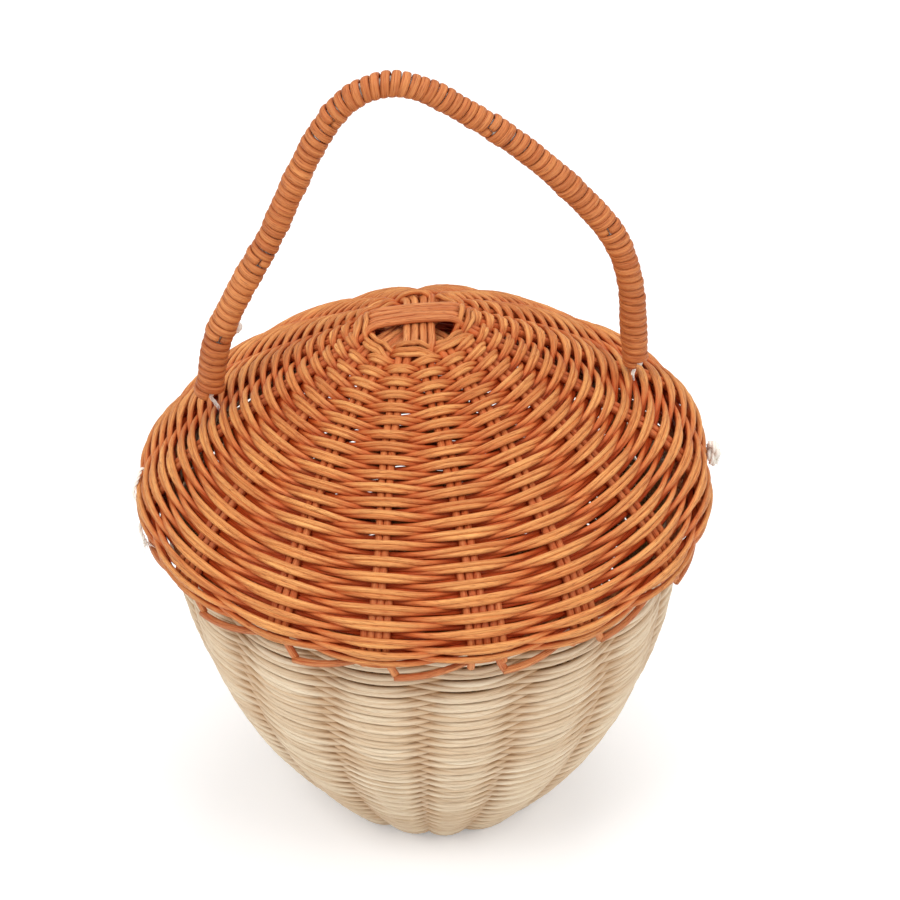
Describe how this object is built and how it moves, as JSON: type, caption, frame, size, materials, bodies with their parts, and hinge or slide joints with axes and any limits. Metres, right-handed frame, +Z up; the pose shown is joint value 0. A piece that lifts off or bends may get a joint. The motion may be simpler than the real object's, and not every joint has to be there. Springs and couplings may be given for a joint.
{
  "type": "lidded wicker basket",
  "caption": "Mushroom-shaped lidded basket of woven reed: a rounded bowl that tapers to a small foot, a wider domed lid and a cane-wound arched handle tied to the lid.",
  "frame": {"origin": "on the floor, under the middle of the whole basket and of its round mouth; the foot stands 5.5 mm to the right of it", "axes": "+Z up along the axis of the mouth and lid, +X to the right as the handle arches, from its left foot to its right one, -Y towards the front"},
  "size_m": [0.222, 0.217, 0.3079],
  "materials": {
    "natural_reed": "matt undyed split reed, pale cream with darker grain",
    "dyed_reed": "orange-brown dyed reed with a soft satin sheen",
    "dyed_cane": "orange-brown dyed flat cane, satin on its outer skin",
    "cotton_cord": "twisted white cotton cord, matt"
  },
  "bodies": {
    "body": {"base_weave": "natural_reed", "body_lower_weave": "natural_reed", "body_upper_weave": "natural_reed", "body_border": "natural_reed", "body_spokes_across_left": "natural_reed", "body_spokes_across_right": "natural_reed", "body_spokes_along_left": "natural_reed", "body_spokes_along_right": "natural_reed", "body_spokes_diagonal_a_left": "natural_reed", "body_spokes_diagonal_a_right": "natural_reed", "body_spokes_diagonal_b_left": "natural_reed", "body_spokes_diagonal_b_right": "natural_reed"},
    "lid": {"lid_crown_weave": "dyed_reed", "lid_dome_weave": "dyed_reed", "lid_side_weave": "dyed_reed", "lid_border": "dyed_reed", "lid_seat_ring": "dyed_reed", "lid_spokes_across_left": "dyed_reed", "lid_spokes_across_right": "dyed_reed", "lid_spokes_along_left": "dyed_reed", "lid_spokes_along_right": "dyed_reed", "lid_spokes_diagonal_a_left": "dyed_reed", "lid_spokes_diagonal_a_right": "dyed_reed", "lid_spokes_diagonal_b_left": "dyed_reed", "lid_spokes_diagonal_b_right": "dyed_reed", "lid_folded_stake_01": "dyed_reed", "lid_folded_stake_02": "dyed_reed", "lid_folded_stake_03": "dyed_reed", "lid_folded_stake_04": "dyed_reed", "lid_folded_stake_05": "dyed_reed", "lid_folded_stake_06": "dyed_reed", "lid_folded_stake_07": "dyed_reed", "lid_folded_stake_08": "dyed_reed", "lid_folded_stake_09": "dyed_reed", "lid_folded_stake_10": "dyed_reed", "lid_folded_stake_11": "dyed_reed", "lid_folded_stake_12": "dyed_reed", "lid_folded_stake_13": "dyed_reed", "lid_folded_stake_14": "dyed_reed", "lid_folded_stake_15": "dyed_reed", "lid_folded_stake_16": "dyed_reed", "left_tie_cord": "cotton_cord", "right_tie_cord": "cotton_cord"},
    "handle": {"handle_core": "cotton_cord", "handle_wrap_1": "dyed_cane", "handle_wrap_2": "dyed_cane", "handle_wrap_3": "dyed_cane", "handle_wrap_4": "dyed_cane", "handle_wrap_5": "dyed_cane", "handle_wrap_6": "dyed_cane"}
  },
  "joints": [
    {"name": "lid_lift", "type": "slide", "parent": "body", "child": "lid", "axis": [0, 0, 1], "range_m": [0, 0.15]},
    {"name": "handle_swing", "type": "hinge", "parent": "lid", "child": "handle", "pos_m": [-0.07966, 0.00365, 0.18136], "axis": [0.996, 0.0854, 0.028], "range_deg": [-70, 70]}
  ]
}
